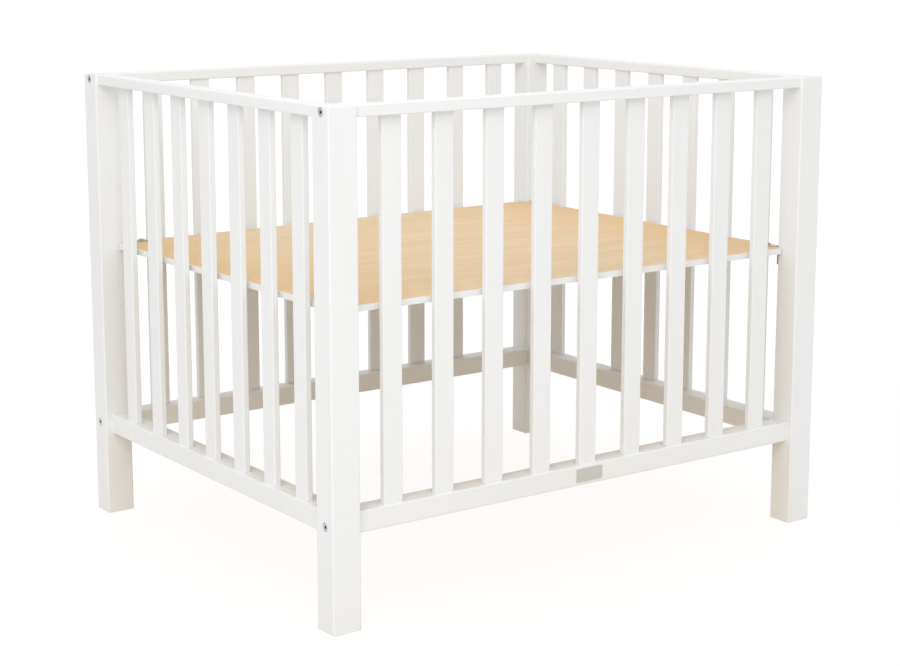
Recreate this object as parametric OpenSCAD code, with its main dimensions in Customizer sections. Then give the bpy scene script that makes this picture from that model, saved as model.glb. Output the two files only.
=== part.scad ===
// Rectangular wooden playpen: four posts, slatted sides and a flat base board
// held near half height. Millimetres, +Z up. The origin is on the floor under
// the middle of the frame. X runs along the long sides and -Y is the front.

/* [Overall] */
// Length of the long sides, over the posts
overall_l = 1010; // [840:1:1250]
// Width of the short sides, over the posts
overall_w = 810; // [670:1:1000]
// Height of the posts and of the rim
overall_h = 796; // [660:1:960]

/* [Posts] */
// Post size along the long side
post_x = 50; // [42:1:60]
// Post size along the short side
post_y = 46; // [44:1:56]
// Rounding of the post's edges
post_round = 2.5; // [1:0.5:4]

/* [Rails] */
// Height of a top rail
top_rail_h = 18; // [16:1:24]
// Depth of a top rail, across the side
top_rail_d = 28; // [26:1:34]
// How far a top rail lies behind the posts' outer faces
top_rail_inset = 4; // [3:0.5:5]
// Height of a bottom rail
bottom_rail_h = 34; // [30:1:42]
// Depth of a bottom rail, across the side
bottom_rail_d = 38; // [34:1:44]
// How far a bottom rail lies behind the posts' outer faces
bottom_rail_inset = 12; // [9:1:14]
// Height of the bottom rails' underside above the floor
floor_gap = 149; // [120:1:180]
// Rounding of the rails' long edges
rail_round = 2; // [1:0.5:3]

/* [Slats] */
// Number of slats in a long side
long_slats = 9; // [7:1:11]
// Number of slats in a short side
short_slats = 7; // [5:1:9]
// Width of a slat
slat_w = 35; // [29:1:42]
// Thickness of a slat
slat_t = 11; // [9:0.5:13]
// How far a slat's outer face lies behind the posts' outer faces
slat_inset = 17; // [15:0.5:18]
// Gap between a post and the slat next to it
slat_end_gap = 53.5; // [50:0.5:64]
// Rounding of a slat's long edges
slat_round = 2; // [1:0.5:3]
// Depth of the mortise that a slat stands in, in each rail
mortise_depth = 10; // [8:0.5:12]

/* [Base board] */
// Depth of the play space, from the rim down to the base board
play_depth = 302; // [280:1:340]
// Thickness of the base board
base_t = 10; // [8:0.5:13]
// Thickness of the white band round the board's edge
edge_band_t = 1.5; // [1:0.5:3]
// Gap between the board and the top rails that it is lifted past
base_clear = 2.5; // [2:0.5:5]
// Gap between the board's notches and the posts
notch_clear = 3; // [2:0.5:5]

/* [Base fittings] */
// Width of the bracket's leg under the board
bracket_w = 34; // [30:1:40]
// Least room on that leg beside the clamping bolt's axis
bracket_side = 8; // [6:0.5:12]
// Length of the bracket's leg under the board
bracket_l = 46; // [42:1:56]
// Height of the bracket's leg on the post
bracket_drop = 20; // [17:1:30]
// Thickness of the bracket's steel
bracket_t = 2; // [1.5:0.5:3]
// Width of the bracket's leg on the post
bracket_grip = 14; // [12:1:16]
// Length of a clamp strap on top of the board
strap_l = 54; // [50:1:72]
// Width of a clamp strap
strap_w = 14; // [12:1:16]
// Thickness of a clamp strap
strap_t = 2; // [1.5:0.5:3]
// Gap between a clamp strap and the board's edge band
strap_edge = 2; // [1:0.5:4]
// Distance from the post's face to the bolt that clamps the board
base_bolt_reach = 30; // [26:1:34]

/* [Frame bolts] */
// Diameter of the bolts' threads
bolt_d = 6; // [5:0.5:7]
// Diameter of a frame bolt's head
bolt_head_d = 14; // [11:0.5:15]
// Thickness of a bolt's head
bolt_head_h = 3.5; // [3:0.5:5]
// Distance of the frame bolts from the posts' outer long faces
bolt_inset = 21; // [19:0.5:23]
// How far a frame bolt reaches into the rail
bolt_reach = 38; // [32:1:42]
// Width across the flats of the hexagon sockets
socket_af = 5; // [4:0.5:5]
// Diameter of the barrel nuts
nut_d = 10; // [9:0.5:12]
// Length of the barrel nuts
nut_l = 12; // [10:0.5:13]
// Distance of the barrel nuts from the rails' ends
nut_reach = 30; // [24:1:32]

/* [Dowels] */
// Diameter of the dowels between rails and posts
dowel_d = 8; // [6:0.5:8]
// Depth of a dowel in a post, and in a rail
dowel_depth = 14; // [10:1:16]

/* [Name plate] */
// Width of the blank plate on the front bottom rail
plate_w = 54; // [40:1:70]
// Height of the blank plate
plate_h = 22; // [15:1:24]
// Thickness of the blank plate
plate_t = 1.2; // [0.8:0.2:2]
// Rounding of the blank plate's corners
plate_round = 1.5; // [0.5:0.5:3]

/* [Hidden] */
$fn = 48;
wood_fit = 0.1;      // gap round a slat in its mortise, and round a dowel
bore_fit = 0.3;      // gap round a bolt in the holes that it passes through
head_fit = 0.3;      // gap round a bolt's head in its counterbore
head_recess = 0.4;   // how far a bolt's head lies below the wood
socket_wall = 1;     // metal left below a hexagon socket
head_wall = 1.7;     // wood between a bolt head's counterbore and the post's top
dowel_wall = 3;      // wood between a short top rail's dowel and the rail's face
dowel_edge = 2;      // wood between a bottom dowel and the inner face
screw_d = 3.5;       // wood screws
screw_head_d = 7;
screw_head_h = 2;
screw_l = 12;        // in a post
strap_screw_l = 7;   // in the base board
strap_screw_end = 7; // from the strap's far end
weld_nut_af = 10;    // nut welded under a bracket
weld_nut_h = 5;
base_bolt_head_d = 11;
base_bolt_head_h = 2;
through = 1;         // how far a cutting shape runs past the surface that it cuts

half_l = overall_l / 2;
half_w = overall_w / 2;
rail_l = overall_l - 2 * post_x;
rail_w = overall_w - 2 * post_y;
top_rail_z = overall_h - top_rail_h;
bottom_rail_top = floor_gap + bottom_rail_h;
top_axis_z = overall_h - max(top_rail_h / 2, bolt_head_d / 2 + head_fit + head_wall);
bottom_axis_z = floor_gap + bottom_rail_h / 2;
slat_z0 = bottom_rail_top - mortise_depth;
slat_l = top_rail_z + mortise_depth - slat_z0;
base_top = overall_h - play_depth;
base_bottom = base_top - base_t;
base_inset = top_rail_inset + top_rail_d + base_clear;
bolt_depth = head_recess + bolt_head_h;
weld_nut_d = weld_nut_af / cos(30);

steel = [0.72, 0.73, 0.74];
white = [0.95, 0.95, 0.94];
beech = [0.86, 0.72, 0.52];
foil = [0.91, 0.79, 0.61];

// Name, side along X, side along Y, and whether its base fittings run along X
CORNERS = [
    ["front_left", -1, -1, false],
    ["front_right", 1, -1, false],
    ["rear_left", -1, 1, true],
    ["rear_right", 1, 1, false],
];

// ---- Shapes that repeat ----

// A rectangle with rounded corners, centred on the origin
module round_rect(size, r) {
    square([size[0] - 2 * r, size[1]], center = true);
    square([size[0], size[1] - 2 * r], center = true);
    for (sx = [-1, 1], sy = [-1, 1])
        translate([sx * (size[0] / 2 - r), sy * (size[1] / 2 - r)]) circle(r);
}

// A bar along X, centred on it, with rounded long edges
module bar_x(length, depth, height, r)
    rotate([90, 0, 90])
        linear_extrude(length, center = true) round_rect([depth, height], r);

// Puts a shape that is drawn inwards from the outer corner at one of the corners
module at_corner(c)
    translate([c[1] * half_l, c[2] * half_w, 0])
        mirror([c[1] > 0 ? 1 : 0, 0, 0])
            mirror([0, c[2] > 0 ? 1 : 0, 0])
                children();

// Turns a shape that is drawn along U, across V, the way a corner's fittings run
module along_fitting(c)
    mirror(c[3] ? [0, 0, 0] : [1, -1, 0]) children();

// Puts a fitting that is drawn along U, across V, at a corner of the base board
module at_fitting(c)
    at_corner(c) along_fitting(c) children();

// A bolt or screw with its head's underside at the origin, pointing down
module screw(head_d, head_h, d, l, af) {
    difference() {
        cylinder(h = head_h, d = head_d);
        translate([0, 0, socket_wall])
            cylinder(h = head_h, d = af / cos(30), $fn = 6);
    }
    translate([0, 0, -l]) cylinder(h = l + socket_wall / 2, d = d);
}

// Middle of slat i, of n, in a side that is span wide between its posts
function slat_at(i, n, span) =
    slat_end_gap + slat_w / 2
    + (i - 1) * (span - 2 * slat_end_gap - slat_w) / (n - 1) - span / 2;

// ---- Places shared by the pieces at a corner ----

// The post's size along and across a corner's base fittings
function fit_u(c) = c[3] ? post_x : post_y;
function fit_v(c) = c[3] ? post_y : post_x;
strap_v = base_inset + edge_band_t + strap_edge + strap_w / 2;
function strap_u(c) = fit_u(c) + notch_clear + edge_band_t + strap_edge;
function base_bolt_u(c) = fit_u(c) + base_bolt_reach;
function strap_screw_u(c) = strap_u(c) + strap_l - strap_screw_end;
// The leg under the board starts where it holds both the leg on the post and the bolt
function bracket_v(c) = min(fit_v(c) - bracket_grip, strap_v - bracket_side);
function bracket_screw_v(c) = fit_v(c) - bracket_grip / 2;
bracket_screw_z = base_bottom - (bracket_t + bracket_drop) / 2;

// Dowels of the long rails, as [distance from the outer long face, height]: the
// top one is midway between the rail's face and the bolt
LONG_DOWELS = [
    [(top_rail_inset + bolt_inset - bolt_d / 2) / 2, top_axis_z],
    [min(post_y, bottom_rail_inset + bottom_rail_d) - dowel_edge - dowel_d / 2,
     bottom_axis_z],
];
// Dowels of the short rails, as [distance from the outer short face, height]
short_bottom_a = bottom_rail_inset + bottom_rail_d / 2 - dowel_d / 2;
SHORT_DOWELS = [
    [top_rail_inset + dowel_wall + dowel_d / 2, top_axis_z],
    [top_rail_inset + top_rail_d - dowel_wall - dowel_d / 2, top_axis_z],
    [short_bottom_a, bottom_axis_z - dowel_d],
    [short_bottom_a, bottom_axis_z + dowel_d],
];

// The dowels, or with a gap their bores, drawn inwards from a corner
module corner_dowels(gap) {
    for (d = LONG_DOWELS)
        translate([post_x, d[0], d[1]]) rotate([0, 90, 0])
            cylinder(h = 2 * dowel_depth, d = dowel_d + 2 * gap, center = true);
    for (d = SHORT_DOWELS)
        translate([d[0], post_y, d[1]]) rotate([90, 0, 0])
            cylinder(h = 2 * dowel_depth, d = dowel_d + 2 * gap, center = true);
}

// The holes that a corner's frame bolts need
module corner_bolt_bores() {
    for (z = [top_axis_z, bottom_axis_z])
        translate([0, bolt_inset, z]) rotate([0, 90, 0]) {
            translate([0, 0, -through])
                cylinder(h = through + bolt_depth, d = bolt_head_d + 2 * head_fit);
            cylinder(h = post_x + bolt_reach + through, d = bolt_d + 2 * bore_fit);
        }
}

// The upright holes for a corner's barrel nuts, open at the rails' undersides
module corner_nut_bores() {
    for (span = [[top_rail_z, top_axis_z], [floor_gap, bottom_axis_z]])
        translate([post_x + nut_reach, bolt_inset, span[0] - through])
            cylinder(h = span[1] + nut_l / 2 - span[0] + through, d = nut_d + 2 * wood_fit);
}

// ---- Posts ----

module post(c) {
    color(white) at_corner(c) difference() {
        translate([post_x / 2, post_y / 2, overall_h / 2]) intersection() {
            linear_extrude(overall_h, center = true)
                round_rect([post_x, post_y], post_round);
            bar_x(post_x, post_y, overall_h, post_round / 2);
            rotate([0, 0, 90]) bar_x(post_y, post_x, overall_h, post_round / 2);
        }
        corner_bolt_bores();
        corner_dowels(wood_fit);
        along_fitting(c)
            translate([fit_u(c), bracket_screw_v(c), bracket_screw_z])
                rotate([0, -90, 0]) translate([0, 0, -through])
                    cylinder(h = screw_l + through, d = screw_d + 2 * wood_fit);
    }
}

// ---- Rails ----

module slat_mortises(n, span, side_y, level) {
    z = level == "top" ? top_rail_z - through : bottom_rail_top - mortise_depth;
    for (i = [1:n])
        translate([slat_at(i, n, span) - slat_w / 2 - wood_fit, side_y - wood_fit, z])
            cube([slat_w + 2 * wood_fit, slat_t + 2 * wood_fit, mortise_depth + through]);
}

// The rail of the front, drawn in place
module long_rail(level) {
    top = level == "top";
    d = top ? top_rail_d : bottom_rail_d;
    h = top ? top_rail_h : bottom_rail_h;
    y = (top ? top_rail_inset : bottom_rail_inset) - half_w;
    difference() {
        translate([0, y + d / 2, (top ? top_rail_z : floor_gap) + h / 2])
            bar_x(rail_l, d, h, rail_round);
        slat_mortises(long_slats, rail_l, slat_inset - half_w, level);
        for (i = [0, 1]) at_corner(CORNERS[i]) {
            corner_bolt_bores();
            corner_nut_bores();
            corner_dowels(wood_fit);
        }
    }
}

// Cuts away what would run into a long bottom rail, where the rails are deeper than
// the posts
module long_rail_room()
    if (bottom_rail_inset + bottom_rail_d > max(post_x, post_y))
        translate([post_x, 0, floor_gap - through])
            cube([bottom_rail_d, bottom_rail_inset + bottom_rail_d,
                  bottom_rail_h + 2 * through]);

// The rail of the left side, drawn in place
module short_rail(level) {
    top = level == "top";
    d = top ? top_rail_d : bottom_rail_d;
    h = top ? top_rail_h : bottom_rail_h;
    x = (top ? top_rail_inset : bottom_rail_inset) - half_l;
    difference() {
        translate([x + d / 2, 0, (top ? top_rail_z : floor_gap) + h / 2])
            rotate([0, 0, 90]) bar_x(rail_w, d, h, rail_round);
        translate([-half_l, 0, 0]) rotate([0, 0, -90])
            slat_mortises(short_slats, rail_w, slat_inset, level);
        for (i = [0, 2]) at_corner(CORNERS[i]) {
            corner_dowels(wood_fit);
            if (!top) long_rail_room();
        }
    }
}

module rail(level, side) {
    color(white) {
        if (side == "front") long_rail(level);
        if (side == "rear") mirror([0, 1, 0]) long_rail(level);
        if (side == "left") short_rail(level);
        if (side == "right") mirror([1, 0, 0]) short_rail(level);
    }
}

// ---- Slats ----

module long_slat(side, i) {
    sy = side == "front" ? -1 : 1;
    color(white)
        translate([slat_at(i, long_slats, rail_l),
                   sy * (half_w - slat_inset - slat_t / 2), slat_z0])
            linear_extrude(slat_l) round_rect([slat_w, slat_t], slat_round);
}

module short_slat(side, i) {
    sx = side == "left" ? -1 : 1;
    color(white)
        translate([sx * (half_l - slat_inset - slat_t / 2),
                   slat_at(i, short_slats, rail_w), slat_z0])
            linear_extrude(slat_l) round_rect([slat_t, slat_w], slat_round);
}

// ---- Base board ----

// The board's outline, notched round the posts, drawn in by some amount
module base_outline(in) {
    hx = half_l - base_inset - in;
    hy = half_w - base_inset - in;
    nx = half_l - post_x - notch_clear - in;
    ny = half_w - post_y - notch_clear - in;
    polygon([[hx, ny], [nx, ny], [nx, hy], [-nx, hy], [-nx, ny], [-hx, ny],
             [-hx, -ny], [-nx, -ny], [-nx, -hy], [nx, -hy], [nx, -ny], [hx, -ny]]);
}

module base_panel() {
    color(foil) difference() {
        translate([0, 0, base_bottom]) linear_extrude(base_t) base_outline(edge_band_t);
        for (c = CORNERS) at_fitting(c) {
            translate([base_bolt_u(c), strap_v, base_bottom - through])
                cylinder(h = base_t + 2 * through, d = bolt_d + 2 * bore_fit);
            translate([strap_screw_u(c), strap_v, base_top - strap_screw_l])
                cylinder(h = strap_screw_l + through, d = screw_d + 2 * wood_fit);
        }
    }
}

module base_edge_band() {
    color(white) translate([0, 0, base_bottom]) linear_extrude(base_t) difference() {
        base_outline(0);
        base_outline(edge_band_t);
    }
}

// ---- Base fittings ----

// Steel angle that is screwed to the post and carries the board
module bracket(c) {
    color(steel) at_fitting(c) difference() {
        union() {
            translate([fit_u(c), fit_v(c) - bracket_grip, base_bottom - bracket_drop])
                cube([bracket_t, bracket_grip, bracket_drop]);
            translate([fit_u(c), bracket_v(c), base_bottom - bracket_t])
                cube([bracket_l, bracket_w, bracket_t]);
            translate([base_bolt_u(c), strap_v, base_bottom - bracket_t - weld_nut_h])
                cylinder(h = weld_nut_h + bracket_t / 2, d = weld_nut_d, $fn = 6);
        }
        translate([base_bolt_u(c), strap_v, base_bottom - bracket_t - weld_nut_h - through])
            cylinder(h = weld_nut_h + bracket_t + 2 * through, d = bolt_d + 2 * bore_fit);
        translate([fit_u(c) - through, bracket_screw_v(c), bracket_screw_z])
            rotate([0, 90, 0])
                cylinder(h = bracket_t + 2 * through, d = screw_d + 2 * wood_fit);
    }
}

// Steel straps on the board, one at each corner, under the clamping bolts
module clamp_straps() {
    color(steel) for (c = CORNERS) at_fitting(c) difference() {
        translate([strap_u(c) + strap_l / 2, strap_v, base_top])
            linear_extrude(strap_t) round_rect([strap_l, strap_w], strap_w / 3);
        translate([base_bolt_u(c), strap_v, base_top - through])
            cylinder(h = strap_t + 2 * through, d = bolt_d + 2 * bore_fit);
        translate([strap_screw_u(c), strap_v, base_top - through])
            cylinder(h = strap_t + 2 * through, d = screw_d + 2 * wood_fit);
    }
}

// Bolts that go down through strap and board into the brackets' nuts
module base_bolts() {
    color(steel) for (c = CORNERS) at_fitting(c)
        translate([base_bolt_u(c), strap_v, base_top + strap_t])
            screw(base_bolt_head_d, base_bolt_head_h, bolt_d,
                  strap_t + base_t + bracket_t + weld_nut_h, socket_af);
}

module strap_screws() {
    color(steel) for (c = CORNERS) at_fitting(c)
        translate([strap_screw_u(c), strap_v, base_top + strap_t])
            screw(screw_head_d, screw_head_h, screw_d, strap_t + strap_screw_l, socket_af / 2);
}

module bracket_screws() {
    color(steel) for (c = CORNERS) at_fitting(c)
        translate([fit_u(c) + bracket_t, bracket_screw_v(c), bracket_screw_z])
            rotate([0, 90, 0])
                screw(screw_head_d, screw_head_h, screw_d, bracket_t + screw_l, socket_af / 2);
}

// ---- Frame fixings ----

module frame_bolts() {
    color(steel) for (c = CORNERS, z = [top_axis_z, bottom_axis_z]) at_corner(c)
        translate([bolt_depth, bolt_inset, z]) rotate([0, -90, 0])
            screw(bolt_head_d, bolt_head_h, bolt_d, post_x + bolt_reach - bolt_depth, socket_af);
}

module barrel_nuts() {
    color(steel) for (c = CORNERS, z = [top_axis_z, bottom_axis_z]) at_corner(c)
        difference() {
            translate([post_x + nut_reach, bolt_inset, z])
                cylinder(h = nut_l, d = nut_d, center = true);
            translate([post_x, bolt_inset, z]) rotate([0, 90, 0])
                cylinder(h = 2 * nut_reach, d = bolt_d + 2 * bore_fit);
        }
}

module rail_dowels() {
    color(beech) for (c = CORNERS) at_corner(c) corner_dowels(0);
}

module name_plate() {
    color([0.75, 0.74, 0.71])
        translate([0, bottom_rail_inset - half_w, bottom_axis_z]) rotate([90, 0, 0])
            linear_extrude(plate_t) round_rect([plate_w, plate_h], plate_round);
}

// ---- Nodes ----

for (c = CORNERS) {
    post(c);
    bracket(c);
}
for (level = ["top", "bottom"], side = ["front", "rear", "left", "right"])
    rail(level, side);
for (side = ["front", "rear"], i = [1:long_slats])
    long_slat(side, i);
for (side = ["left", "right"], i = [1:short_slats])
    short_slat(side, i);
base_panel();
base_edge_band();
clamp_straps();
base_bolts();
strap_screws();
bracket_screws();
frame_bolts();
barrel_nuts();
rail_dowels();
name_plate();
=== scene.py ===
"""Finishes, studio and camera for the slatted playpen: white lacquered beech frame,
base board with a printed wood face, and zinc-plated fittings."""

import math

import bpy
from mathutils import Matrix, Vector


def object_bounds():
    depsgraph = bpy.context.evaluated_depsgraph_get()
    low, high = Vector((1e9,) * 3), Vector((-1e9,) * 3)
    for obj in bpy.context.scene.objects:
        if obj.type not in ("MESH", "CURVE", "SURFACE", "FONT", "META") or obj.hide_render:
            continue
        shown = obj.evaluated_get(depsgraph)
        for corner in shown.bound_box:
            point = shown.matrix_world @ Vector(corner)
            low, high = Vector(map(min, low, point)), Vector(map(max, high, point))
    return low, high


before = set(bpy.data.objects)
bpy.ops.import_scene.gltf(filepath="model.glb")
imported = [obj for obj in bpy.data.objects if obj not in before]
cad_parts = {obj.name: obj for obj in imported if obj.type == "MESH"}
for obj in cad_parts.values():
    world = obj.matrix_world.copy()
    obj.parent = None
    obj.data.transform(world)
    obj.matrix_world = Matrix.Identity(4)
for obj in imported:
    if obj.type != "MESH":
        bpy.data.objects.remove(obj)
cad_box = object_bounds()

MM = 0.001
scene = bpy.context.scene


# ---- Node building -------------------------------------------------------------


class Shop:
    """Adds nodes to one tree and links them, so that a finish reads top to bottom."""

    def __init__(self, tree):
        self.tree = tree
        self.column = 0

    def add(self, kind, inputs=None, **settings):
        node = self.tree.nodes.new(kind)
        self.column += 1
        node.location = (self.column * 180, -(self.column % 4) * 160)
        for name, value in settings.items():
            setattr(node, name, value)
        for name, value in (inputs or {}).items():
            self.plug(node.inputs[name], value)
        return node

    def plug(self, socket, value):
        if isinstance(value, bpy.types.NodeSocket):
            self.tree.links.new(value, socket)
        else:
            socket.default_value = value

    def math(self, operation, a, b=0.0):
        return self.add("ShaderNodeMath", {0: a, 1: b}, operation=operation).outputs[0]

    def scaled(self, vector, factors):
        node = self.add("ShaderNodeVectorMath", {0: vector, 1: factors}, operation="MULTIPLY")
        return node.outputs[0]

    def noise(self, vector, scale, detail=2.0, roughness=0.5, distortion=0.0):
        node = self.add("ShaderNodeTexNoise", {
            "Vector": vector, "Scale": scale, "Detail": detail,
            "Roughness": roughness, "Distortion": distortion})
        return node.outputs["Fac"]

    def spread(self, value, low, high, to_low=0.0, to_high=1.0):
        """Maps low..high to to_low..to_high, smoothly, and clamps outside."""
        node = self.add("ShaderNodeMapRange", {
            "Value": value, "From Min": low, "From Max": high,
            "To Min": to_low, "To Max": to_high}, interpolation_type="SMOOTHSTEP")
        return node.outputs["Result"]

    def blend(self, mask, warm_bounce_patch, above):
        node = self.add("ShaderNodeMix", data_type="RGBA")
        self.plug(node.inputs["Factor"], mask)
        self.plug(node.inputs[6], warm_bounce_patch)
        self.plug(node.inputs[7], above)
        return node.outputs[2]

    def bump(self, height, distance, strength=1.0, normal=None):
        inputs = {"Height": height, "Distance": distance, "Strength": strength}
        if normal is not None:
            inputs["Normal"] = normal
        return self.add("ShaderNodeBump", inputs).outputs["Normal"]


def effect(name, inputs, outputs):
    """Starts a shader node group that several finishes use."""
    group = bpy.data.node_groups.new(name, "ShaderNodeTree")
    for label, kind, default in inputs:
        socket = group.interface.new_socket(label, in_out="INPUT", socket_type=kind)
        if default is not None:
            socket.default_value = default
    for label in outputs:
        group.interface.new_socket(label, in_out="OUTPUT", socket_type="NodeSocketFloat")
    shop = Shop(group)
    return group, shop, shop.add("NodeGroupInput").outputs, shop.add("NodeGroupOutput").inputs


FLOAT, VECTOR = "NodeSocketFloat", "NodeSocketVector"


# ---- Effects that several finishes share ---------------------------------------


def make_wood_figure():
    """Straight figure and fine pores of beech, running where Stretch is smallest."""
    group, shop, given, out = effect(
        "wood_figure",
        [("Vector", VECTOR, None), ("Stretch", VECTOR, (1.0, 12.0, 12.0))],
        ["Figure", "Streaks", "Pores"])
    along = shop.scaled(given["Vector"], given["Stretch"])
    wander = shop.noise(along, 1.4, 2.0, 0.5)
    shop.plug(out["Figure"], shop.noise(along, 3.2, 4.0, 0.55, 0.6))
    fine = shop.noise(along, 26.0, 3.0, 0.6, 0.3)
    shop.plug(out["Streaks"], shop.math(
        "ADD", shop.math("MULTIPLY", fine, 0.75), shop.math("MULTIPLY", wander, 0.25)))
    pores = shop.noise(along, 120.0, 1.0, 0.5)
    shop.plug(out["Pores"], shop.spread(pores, 0.6, 0.74))
    return group


def make_edge_wear():
    """Where the surface turns within Radius, broken up so that the wear is uneven."""
    group, shop, given, out = effect(
        "edge_wear",
        [("Vector", VECTOR, None), ("Radius", FLOAT, 0.0015), ("Patch Scale", FLOAT, 30.0)],
        ["Edge", "Wear"])
    soft = shop.add("ShaderNodeBevel", {"Radius": given["Radius"]}, samples=4).outputs[0]
    sharp = shop.add("ShaderNodeNewGeometry").outputs["Normal"]
    same = shop.add("ShaderNodeVectorMath", {0: soft, 1: sharp}, operation="DOT_PRODUCT")
    edge = shop.spread(same.outputs["Value"], 0.995, 0.9)
    patches = shop.spread(shop.noise(given["Vector"], given["Patch Scale"], 4.0, 0.6), 0.42, 0.62)
    shop.plug(out["Edge"], edge)
    shop.plug(out["Wear"], shop.math("MULTIPLY", edge, patches))
    return group


def make_film():
    """Sprayed film: a faint orange-peel Relief and a cloudy Sheen."""
    group, shop, given, out = effect(
        "sprayed_film", [("Vector", VECTOR, None), ("Peel Scale", FLOAT, 420.0)],
        ["Relief", "Sheen"])
    shop.plug(out["Relief"], shop.noise(given["Vector"], given["Peel Scale"], 1.0, 0.4))
    shop.plug(out["Sheen"], shop.noise(given["Vector"], 7.0, 3.0, 0.55))
    return group


def make_handling():
    """Rubbed patches left by hands."""
    group, shop, given, out = effect(
        "handling", [("Vector", VECTOR, None), ("Scale", FLOAT, 11.0)], ["Smudge"])
    cloud = shop.noise(given["Vector"], given["Scale"], 5.0, 0.62, 0.4)
    shop.plug(out["Smudge"], shop.spread(cloud, 0.5, 0.72))
    return group


def make_brushing():
    """Fine parallel lines of rolled or brushed metal, along the smallest Stretch."""
    group, shop, given, out = effect(
        "brushing", [("Vector", VECTOR, None), ("Stretch", VECTOR, (1.0, 30.0, 30.0))],
        ["Lines", "Mottle"])
    drawn = shop.scaled(given["Vector"], given["Stretch"])
    shop.plug(out["Lines"], shop.noise(drawn, 90.0, 3.0, 0.6))
    shop.plug(out["Mottle"], shop.noise(given["Vector"], 160.0, 3.0, 0.6))
    return group


def make_recess_shade():
    """Painted shade: darkness where a surface lies deep in a hollow no wider than Reach."""
    group, shop, given, out = effect("recess_shade", [("Reach", FLOAT, 0.003)], ["Depth"])
    open_sky = shop.add("ShaderNodeAmbientOcclusion", {"Distance": given["Reach"]}, samples=8)
    shop.plug(out["Depth"], shop.spread(open_sky.outputs["AO"], 0.75, 0.3))
    return group


WOOD_FIGURE = make_wood_figure()
EDGE_WEAR = make_edge_wear()
FILM = make_film()
HANDLING = make_handling()
BRUSHING = make_brushing()
RECESS_SHADE = make_recess_shade()


# ---- Finishes ------------------------------------------------------------------


class Finish(Shop):
    """One material: its place on the object, its shader and the shared effects."""

    def __init__(self, name, **constants):
        self.material = bpy.data.materials.new(name)
        self.material.use_nodes = True
        tree = self.material.node_tree
        tree.nodes.clear()
        super().__init__(tree)
        self.place = self.add("ShaderNodeTexCoord").outputs["Object"]
        self.shader = self.add("ShaderNodeBsdfPrincipled", constants)
        self.add("ShaderNodeOutputMaterial", {"Surface": self.shader.outputs["BSDF"]})

    def use(self, group, **inputs):
        node = self.add("ShaderNodeGroup", node_tree=group)
        if "Vector" in node.inputs:
            self.plug(node.inputs["Vector"], self.place)
        for label, value in inputs.items():
            self.plug(node.inputs[label.replace("_", " ")], value)
        return node.outputs

    def paint(self, **sockets):
        for label, value in sockets.items():
            self.plug(self.shader.inputs[label.replace("_", " ")], value)
        return self.material


ALONG = {"x": (1.0, 12.0, 12.0), "y": (12.0, 1.0, 12.0), "z": (12.0, 12.0, 1.0)}


BOUNCE_FADE = 0.8       # how far the light thrown back by the board loses its colour


def grey(level):
    return (level, level, level, 1.0)


def lacquer(name, run):
    """White satin lacquer over beech whose grain runs along one axis."""
    finish = Finish(name, IOR=1.5)
    wood = finish.use(WOOD_FIGURE, Stretch=ALONG[run])
    edge = finish.use(EDGE_WEAR, Radius=1.2 * MM)
    film = finish.use(FILM)
    hands = finish.use(HANDLING)
    coat = finish.blend(wood["Figure"], (0.865, 0.865, 0.862, 1), (0.892, 0.892, 0.888, 1))
    coat = finish.blend(finish.math("MULTIPLY", hands["Smudge"], 0.25), coat,
                        (0.85, 0.848, 0.838, 1))
    coat = finish.blend(finish.math("MULTIPLY", edge["Wear"], 0.35), coat,
                        (0.83, 0.815, 0.78, 1))
    rough = finish.spread(film["Sheen"], 0.3, 0.7, 0.36, 0.46)
    rough = finish.math("ADD", rough, finish.math("MULTIPLY", hands["Smudge"], 0.05))
    relief = finish.bump(film["Relief"], 0.02 * MM, 0.5)
    relief = finish.bump(wood["Streaks"], 0.05 * MM, 0.35, relief)
    return finish.paint(Base_Color=coat, Roughness=rough, Normal=relief)


def wood_print():
    """Light beech print under a satin seal, figure along the long sides."""
    finish = Finish("base_wood_print", IOR=1.36)
    wood = finish.use(WOOD_FIGURE, Stretch=(1.0, 9.0, 9.0))
    film = finish.use(FILM, Peel_Scale=600.0)
    hands = finish.use(HANDLING, Scale=6.0)
    edge = finish.use(EDGE_WEAR, Radius=1.0 * MM)
    face = finish.blend(finish.spread(wood["Figure"], 0.24, 0.78),
                        (0.76, 0.55, 0.325, 1), (0.84, 0.635, 0.40, 1))
    face = finish.blend(finish.spread(wood["Streaks"], 0.38, 0.66, 0.0, 0.12), face,
                        (0.67, 0.46, 0.26, 1))
    face = finish.blend(finish.math("MULTIPLY", wood["Pores"], 0.3), face,
                        (0.50, 0.31, 0.16, 1))
    face = finish.blend(finish.math("MULTIPLY", hands["Smudge"], 0.12), face,
                        (0.62, 0.47, 0.32, 1))
    across = finish.add("ShaderNodeSeparateXYZ", {0: finish.place}).outputs["X"]
    ends = finish.spread(finish.math("ABSOLUTE", across), 0.15, 0.5, 0.0, 0.75)
    face = finish.blend(ends, face, (0.79, 0.52, 0.24, 1))
    # painted light: bounced light sees the board greyer, so the board throws less warm light onto
    # the parts round it
    thrown_back = finish.add("ShaderNodeLightPath").outputs["Is Diffuse Ray"]
    face = finish.blend(finish.math("MULTIPLY", thrown_back, BOUNCE_FADE), face,
                        (0.66, 0.62, 0.56, 1))
    rough = finish.spread(film["Sheen"], 0.3, 0.7, 0.42, 0.54)
    rough = finish.math("ADD", rough, finish.math("MULTIPLY", edge["Edge"], 0.1))
    relief = finish.bump(wood["Pores"], -0.04 * MM, 0.5)
    relief = finish.bump(film["Relief"], 0.02 * MM, 0.4, relief)
    return finish.paint(Base_Color=face, Roughness=rough, Normal=relief)


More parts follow.
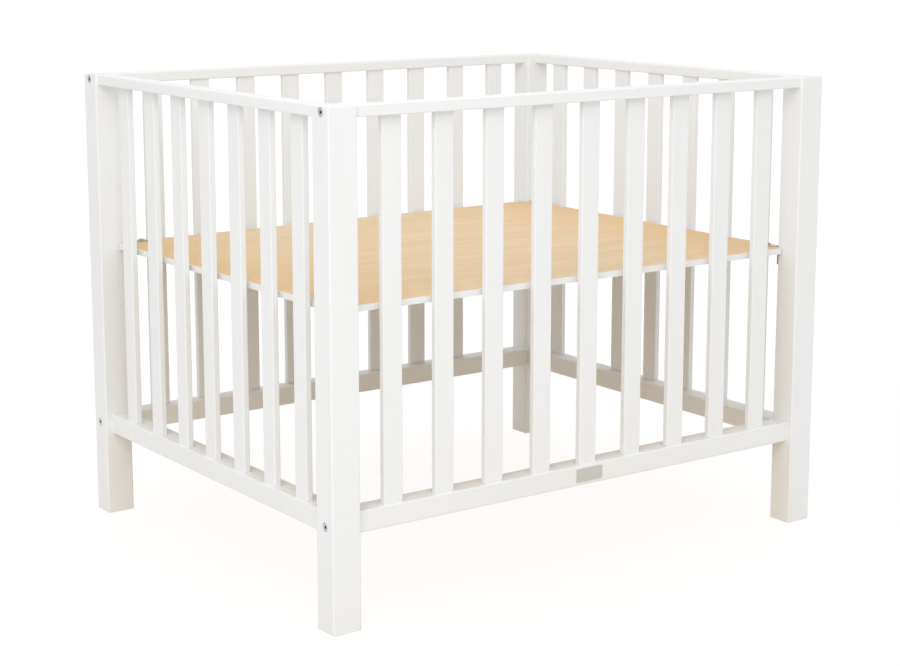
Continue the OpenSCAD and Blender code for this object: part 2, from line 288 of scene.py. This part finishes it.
def edge_band():
    """White plastic band, with the faint waves of its glued edge."""
    finish = Finish("base_edge_white", IOR=1.5)
    film = finish.use(FILM, Peel_Scale=300.0)
    edge = finish.use(EDGE_WEAR, Radius=0.6 * MM, Patch_Scale=60.0)
    hands = finish.use(HANDLING, Scale=18.0)
    body = finish.blend(film["Sheen"], (0.84, 0.84, 0.83, 1), (0.88, 0.88, 0.87, 1))
    body = finish.blend(finish.math("MULTIPLY", hands["Smudge"], 0.2), body,
                        (0.78, 0.77, 0.74, 1))
    body = finish.blend(finish.math("MULTIPLY", edge["Wear"], 0.3), body,
                        (0.74, 0.7, 0.64, 1))
    rough = finish.spread(film["Sheen"], 0.3, 0.7, 0.34, 0.44)
    relief = finish.bump(film["Relief"], 0.03 * MM, 0.5)
    return finish.paint(Base_Color=body, Roughness=rough, Normal=relief)


def zinc(name, stretch, roughness, tint):
    """Zinc-plated steel with a spangled, slightly blue passivation, and painted shade in its
    hollows.
    """
    finish = Finish(name, Metallic=1.0)
    lines = finish.use(BRUSHING, Stretch=stretch)
    edge = finish.use(EDGE_WEAR, Radius=0.5 * MM, Patch_Scale=90.0)
    hands = finish.use(HANDLING, Scale=40.0)
    dull = tuple(0.86 * c for c in tint[:3]) + (1.0,)
    plate = finish.blend(finish.spread(lines["Mottle"], 0.35, 0.65), dull, tint)
    plate = finish.blend(finish.math("MULTIPLY", hands["Smudge"], 0.4), plate,
                         tuple(0.72 * c for c in tint[:3]) + (1.0,))
    plate = finish.blend(finish.math("MULTIPLY", edge["Wear"], 0.6), plate, grey(0.86))
    # painted shade: hollows such as the hex sockets are darkened to a near-black teal
    hollow_shade = finish.use(RECESS_SHADE, Reach=4 * MM)
    plate = finish.blend(hollow_shade["Depth"], plate, (0.03, 0.06, 0.075, 1))
    rough = finish.spread(lines["Lines"], 0.3, 0.7, roughness - 0.06, roughness + 0.08)
    rough = finish.math("ADD", rough, finish.math("MULTIPLY", hands["Smudge"], 0.12))
    relief = finish.bump(lines["Lines"], 0.02 * MM, 0.6)
    return finish.paint(Base_Color=plate, Roughness=rough, Normal=relief)


def bare_beech():
    """Unfinished beech of the dowels."""
    finish = Finish("dowel_wood", IOR=1.45)
    wood = finish.use(WOOD_FIGURE, Stretch=(3.0, 30.0, 30.0))
    edge = finish.use(EDGE_WEAR, Radius=0.6 * MM)
    face = finish.blend(wood["Figure"], (0.58, 0.4, 0.23, 1), (0.72, 0.53, 0.33, 1))
    face = finish.blend(finish.math("MULTIPLY", wood["Pores"], 0.5), face,
                        (0.36, 0.22, 0.12, 1))
    face = finish.blend(finish.math("MULTIPLY", edge["Wear"], 0.4), face,
                        (0.78, 0.62, 0.42, 1))
    rough = finish.spread(wood["Streaks"], 0.3, 0.7, 0.6, 0.75)
    return finish.paint(Base_Color=face, Roughness=rough,
                        Normal=finish.bump(wood["Pores"], -0.08 * MM, 0.6))


def brushed_plate():
    """Blank plate of brushed metal, warm grey, with a slightly darker rim."""
    finish = Finish("plate_metal", Metallic=1.0)
    lines = finish.use(BRUSHING, Stretch=(1.0, 40.0, 40.0))
    edge = finish.use(EDGE_WEAR, Radius=0.8 * MM, Patch_Scale=90.0)
    face = finish.blend(finish.spread(lines["Lines"], 0.35, 0.65),
                        (0.68, 0.66, 0.62, 1), (0.76, 0.74, 0.70, 1))
    face = finish.blend(finish.math("MULTIPLY", lines["Mottle"], 0.2), face,
                        (0.68, 0.65, 0.6, 1))
    face = finish.blend(finish.math("MULTIPLY", edge["Edge"], 0.5), face,
                        (0.54, 0.52, 0.48, 1))
    rough = finish.spread(lines["Lines"], 0.3, 0.7, 0.36, 0.5)
    return finish.paint(Base_Color=face, Roughness=rough,
                        Normal=finish.bump(lines["Lines"], 0.02 * MM, 0.6))


ZINC_BLUE = (0.66, 0.78, 0.79, 1.0)
ZINC_GREY = (0.82, 0.83, 0.83, 1.0)

UPRIGHT = lacquer("lacquer_upright", "z")
finishes = {
    "post": UPRIGHT,
    "slat": UPRIGHT,
    "rail_long": lacquer("lacquer_long_rails", "x"),
    "rail_short": lacquer("lacquer_short_rails", "y"),
    "base_panel": wood_print(),
    "base_edge_band": edge_band(),
    "bracket": zinc("bracket_zinc", (8.0, 8.0, 1.0), 0.38, ZINC_GREY),
    "clamp_straps": zinc("strap_zinc", (1.0, 1.0, 6.0), 0.3, ZINC_GREY),
    "bolts": zinc("bolt_zinc", (4.0, 4.0, 4.0), 0.3, ZINC_BLUE),
    "screws": zinc("screw_zinc", (6.0, 6.0, 6.0), 0.34, ZINC_BLUE),
    "rail_dowels": bare_beech(),
    "name_plate": brushed_plate(),
}


def finish_for(node):
    """The finish that a CAD node takes, from its name."""
    if node in finishes:
        return finishes[node]
    if "_rail_" in node:
        return finishes["rail_short" if node.endswith(("left", "right")) else "rail_long"]
    if "_slat_" in node:
        return finishes["slat"]
    if node.startswith("post_"):
        return finishes["post"]
    if node.startswith("bracket_") and node != "bracket_screws":
        return finishes["bracket"]
    return finishes["screws" if node.endswith("screws") else "bolts"]


for name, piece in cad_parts.items():
    for place in piece.material_slots:
        place.material = finish_for(name)


# ---- Studio --------------------------------------------------------------------

lowest, highest = cad_box
middle = (lowest + highest) / 2
FLOOR_REACH = 30.0      # metres of paper on each side of the playpen
ROOM_LIGHT = 0.78       # strength of the soft room round the playpen
PAPER_WHITE = 1.05      # how bright bare paper and backdrop look to the camera
SHADE_DEPTH = 0.12      # how much of its own shade the paper shows near the playpen


def make_floor():
    """Wide pale paper floor under the playpen."""
    corners = [(-FLOOR_REACH, -FLOOR_REACH), (FLOOR_REACH, -FLOOR_REACH),
               (FLOOR_REACH, FLOOR_REACH), (-FLOOR_REACH, FLOOR_REACH)]
    mesh = bpy.data.meshes.new("studio_floor")
    mesh.from_pydata([(x, y, lowest.z) for x, y in corners], [], [(0, 1, 2, 3)])
    floor = bpy.data.objects.new("studio_floor", mesh)
    scene.collection.objects.link(floor)
    floor.data.materials.append(pale_paper())


def pale_paper():
    """Matt studio paper, with a warm patch painted under the playpen so that the light it throws
    back up under the base board is warmer.
    """
    finish = Finish("studio_paper", IOR=1.4)
    cloud = finish.noise(finish.place, 1.5, 3.0, 0.5)
    tone = finish.blend(cloud, (0.80, 0.795, 0.785, 1), (0.83, 0.825, 0.815, 1))
    far = finish.add("ShaderNodeVectorMath", {0: finish.place}, operation="LENGTH")
    # painted light: a warm patch under the playpen, so that the light bounced into the board's
    # shade is warm
    warm_bounce_patch = finish.spread(far.outputs["Value"], 0.35, 0.75, 1.0, 0.0)
    tone = finish.blend(warm_bounce_patch, tone, (0.80, 0.62, 0.33, 1))
    finish.paint(Base_Color=tone, Roughness=finish.spread(cloud, 0.3, 0.7, 0.85, 0.95))
    seen = finish.add("ShaderNodeEmission", {"Color": grey(1.0), "Strength": PAPER_WHITE})
    glow = finish.spread(far.outputs["Value"], 0.9, 3.0, 1.0 - SHADE_DEPTH, 1.0)
    part = finish.math(
        "MULTIPLY", finish.add("ShaderNodeLightPath").outputs["Is Camera Ray"], glow)
    mixed = finish.add("ShaderNodeMixShader", {
        0: part, 1: finish.shader.outputs["BSDF"], 2: seen.outputs[0]})
    out = next(n for n in finish.tree.nodes if n.type == "OUTPUT_MATERIAL")
    finish.plug(out.inputs["Surface"], mixed.outputs[0])
    return finish.material


def make_world():
    """White backdrop for the camera, and a dimmer soft room for the light."""
    world = bpy.data.worlds.new("studio_room")
    world.use_nodes = True
    world.node_tree.nodes.clear()
    shop = Shop(world.node_tree)
    room = shop.add("ShaderNodeBackground", {"Color": grey(1.0), "Strength": ROOM_LIGHT})
    backdrop = shop.add("ShaderNodeBackground", {"Color": grey(1.0), "Strength": PAPER_WHITE})
    camera_ray = shop.add("ShaderNodeLightPath").outputs["Is Camera Ray"]
    mixed = shop.add("ShaderNodeMixShader", {
        0: camera_ray, 1: room.outputs[0], 2: backdrop.outputs[0]})
    shop.add("ShaderNodeOutputWorld", {"Surface": mixed.outputs[0]})
    scene.world = world


def softbox(name, azimuth, elevation, distance, size, power, tint=(1.0, 1.0, 1.0)):
    """A square area light aimed at the middle of the playpen.
    Azimuth 0 stands in front, and 90 at the right."""
    a, e = math.radians(azimuth), math.radians(elevation)
    light = bpy.data.lights.new(name, "AREA")
    light.shape = "SQUARE"
    light.size = size
    light.energy = power
    light.color = tint
    lamp = bpy.data.objects.new(name, light)
    back = Vector((math.sin(a) * math.cos(e), -math.cos(a) * math.cos(e), math.sin(e)))
    lamp.location = middle + back * distance
    lamp.rotation_euler = back.to_track_quat("Z", "Y").to_euler()
    scene.collection.objects.link(lamp)


make_floor()
make_world()
softbox("key_softbox", azimuth=-43, elevation=36, distance=4.2, size=2.6, power=55,
        tint=(0.982, 0.991, 1.0))
softbox("top_softbox", azimuth=0, elevation=88, distance=3.2, size=3.0, power=19)


# ---- Camera --------------------------------------------------------------------

CAMERA_PLACE = (-1.952, -2.7163, 1.0428)
CAMERA_LOOKS_DOWN = 0.17568     # radians below level
CAMERA_TURNS_RIGHT = 0.62331    # radians from straight at the front

camera_data = bpy.data.cameras.new("camera")
camera_data.sensor_width = 36.0
camera_data.lens = 76.283
camera_data.shift_y = -0.07
camera_data.clip_end = 200.0
camera = bpy.data.objects.new("camera", camera_data)
camera.location = CAMERA_PLACE
camera.rotation_euler = (math.pi / 2 - CAMERA_LOOKS_DOWN, 0.0, -CAMERA_TURNS_RIGHT)
scene.collection.objects.link(camera)
scene.camera = camera

scene.view_settings.view_transform = "Standard"
scene.view_settings.look = "None"
